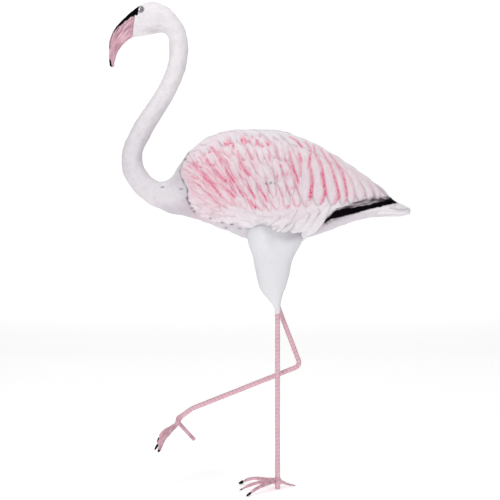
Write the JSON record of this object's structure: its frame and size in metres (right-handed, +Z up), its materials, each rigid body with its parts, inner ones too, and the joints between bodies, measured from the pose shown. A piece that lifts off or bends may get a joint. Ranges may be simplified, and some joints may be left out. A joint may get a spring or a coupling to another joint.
{
  "type": "flamingo statue",
  "caption": "Garden statue of a flamingo standing on one leg: a painted resin bird with carved feathers on pink steel bar legs with clawed feet.",
  "frame": {"origin": "centre of the flat lower end of the standing leg's bar, on the ground", "axes": "+Z up along the standing leg, the bird faces -X and its left side faces -Y"},
  "size_m": [0.5112, 0.1457, 0.8261],
  "materials": {
    "painted_resin": "satin hand-painted white with pink dry-brushed feathers and black wing edge and bill",
    "pink_bar": "pink satin paint over ribbed bar",
    "pink_foot": "pink satin paint over cast feet with black claws"
  },
  "bodies": {
    "root": {"flamingo": "painted_resin", "standing_leg": "pink_bar", "raised_leg": "pink_bar", "standing_foot": "pink_foot", "raised_foot": "pink_foot"}
  },
  "joints": []
}
